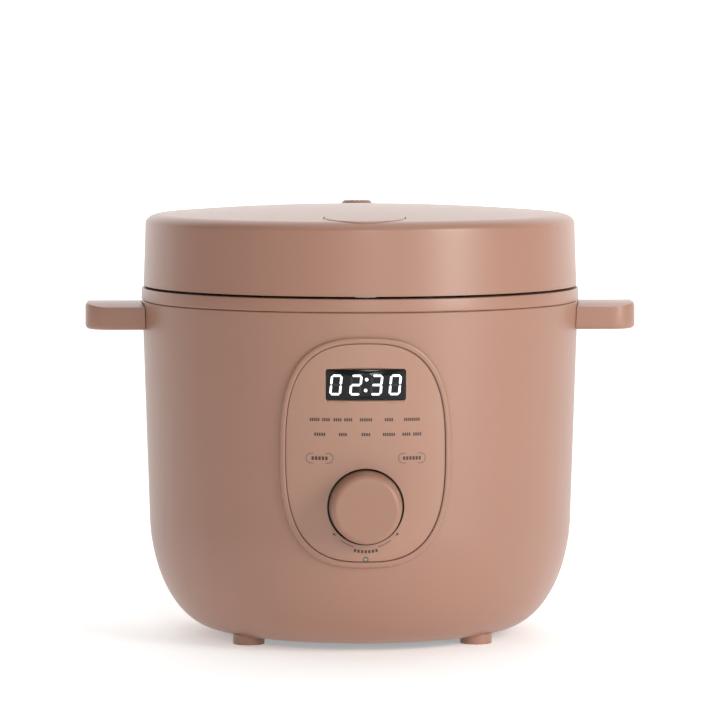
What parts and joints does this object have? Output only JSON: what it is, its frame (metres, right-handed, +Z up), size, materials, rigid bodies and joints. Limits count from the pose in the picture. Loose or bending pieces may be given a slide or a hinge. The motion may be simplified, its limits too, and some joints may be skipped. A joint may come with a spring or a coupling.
{
  "type": "electric pressure cooker",
  "caption": "Round countertop electric cooker with a hinged sealed lid, push-to-open button, steam vent, curved control panel with dial, lug handles and a lift-out pot.",
  "frame": {"origin": "on the table under the middle of the cooker", "axes": "+Z up, the control panel faces -Y, the lid's hinge is at +Y, the handles point along X"},
  "size_m": [0.2744, 0.2416, 0.2144],
  "materials": {
    "housing": "satin",
    "panel": "semi-gloss",
    "display_glass": "gloss",
    "white_plastic": "satin",
    "dark_plastic": "satin",
    "clear_plastic": "clear",
    "silicone": "matte",
    "steel": "brushed",
    "aluminium": "satin",
    "pot_coating": "non-stick coated",
    "brass": "plated",
    "circuit_board": "soldered"
  },
  "bodies": {
    "root": {"body_shell": "housing", "body_collar": "housing", "left_handle": "housing", "right_handle": "housing", "base_cover": "housing", "base_screw_1": "steel", "base_screw_2": "steel", "base_screw_3": "steel", "base_screw_4": "steel", "foot_front_left": "housing", "foot_front_right": "housing", "foot_rear_left": "housing", "foot_rear_right": "housing", "cooking_well": "steel", "side_heater_band": "silicone", "heating_plate": "aluminium", "heating_element": "steel", "thermostat_bracket": "steel", "thermostat_spring": "steel", "thermal_fuse": "white_plastic", "power_board": "circuit_board", "power_inlet": "dark_plastic", "inlet_pin_live": "brass", "inlet_pin_neutral": "brass", "inlet_pin_earth": "brass", "control_panel_bezel": "housing", "control_panel_face": "panel", "dial_ring": "panel", "display_window": "display_glass", "display_module": "white_plastic", "control_board": "circuit_board", "indicator_light_pipe": "clear_plastic", "touch_spring_left": "steel", "touch_spring_right": "steel", "encoder_housing": "dark_plastic", "latch_catch": "steel", "hinge_pin": "steel", "hinge_spring": "steel"},
    "lid": {"lid_cover": "housing", "lid_liner": "white_plastic", "lid_screw_1": "steel", "lid_screw_2": "steel", "lid_screw_3": "steel", "lid_screw_4": "steel", "inner_lid_plate": "aluminium", "lid_gasket": "silicone", "inner_lid_clip": "silicone", "button_spring": "steel", "vent_body": "white_plastic", "vent_seal": "silicone"},
    "button": {"lid_button": "housing"},
    "latch": {"lid_latch": "white_plastic"},
    "vent_cap": {"steam_vent_cap": "housing"},
    "valve_ball": {"vent_ball": "steel"},
    "dial_rotor": {"encoder_rotor": "white_plastic"},
    "dial_knob": {"control_knob": "housing", "knob_shaft": "steel"},
    "thermostat": {"thermostat_sensor": "aluminium"},
    "pot": {"inner_pot": "pot_coating"}
  },
  "joints": [
    {"name": "lid_hinge", "type": "hinge", "parent": "root", "child": "lid", "pos_m": [0, 0.1147, 0.174], "axis": [-1, 0, 0], "range_deg": [0, 85]},
    {"name": "button_press", "type": "slide", "parent": "lid", "child": "button", "axis": [0, 0, -1], "range_m": [0, 0.0025], "stiffness_N_per_m": 800, "springref_m": -0.002, "deforming": ["button_spring"]},
    {"name": "latch_slide", "type": "slide", "parent": "lid", "child": "latch", "axis": [0, 1, 0], "range_m": [0, 0.0025]},
    {"name": "vent_cap_lift", "type": "slide", "parent": "lid", "child": "vent_cap", "axis": [0, 0, 1], "range_m": [0, 0.03]},
    {"name": "valve_ball_lift", "type": "slide", "parent": "lid", "child": "valve_ball", "axis": [0, 0, 1], "range_m": [0, 0.003]},
    {"name": "dial_turn", "type": "hinge", "parent": "root", "child": "dial_rotor", "pos_m": [0, -0.1, 0.0739], "axis": [0, -1, 0], "continuous": true},
    {"name": "dial_push", "type": "slide", "parent": "dial_rotor", "child": "dial_knob", "axis": [0, 1, 0], "range_m": [0, 0.001], "stiffness_N_per_m": 2000, "springref_m": -0.0015},
    {"name": "thermostat_press", "type": "slide", "parent": "root", "child": "thermostat", "axis": [0, 0, -1], "range_m": [0, 0.0015], "stiffness_N_per_m": 500, "springref_m": -0.004, "deforming": ["thermostat_spring"]},
    {"name": "pot_turn", "type": "hinge", "parent": "root", "child": "pot", "pos_m": [0, 0, 0.036], "axis": [0, 0, 1], "continuous": true}
  ],
  "couplings": [
    {"joint": "latch_slide", "follows": "button_press", "ratio": 1}
  ]
}
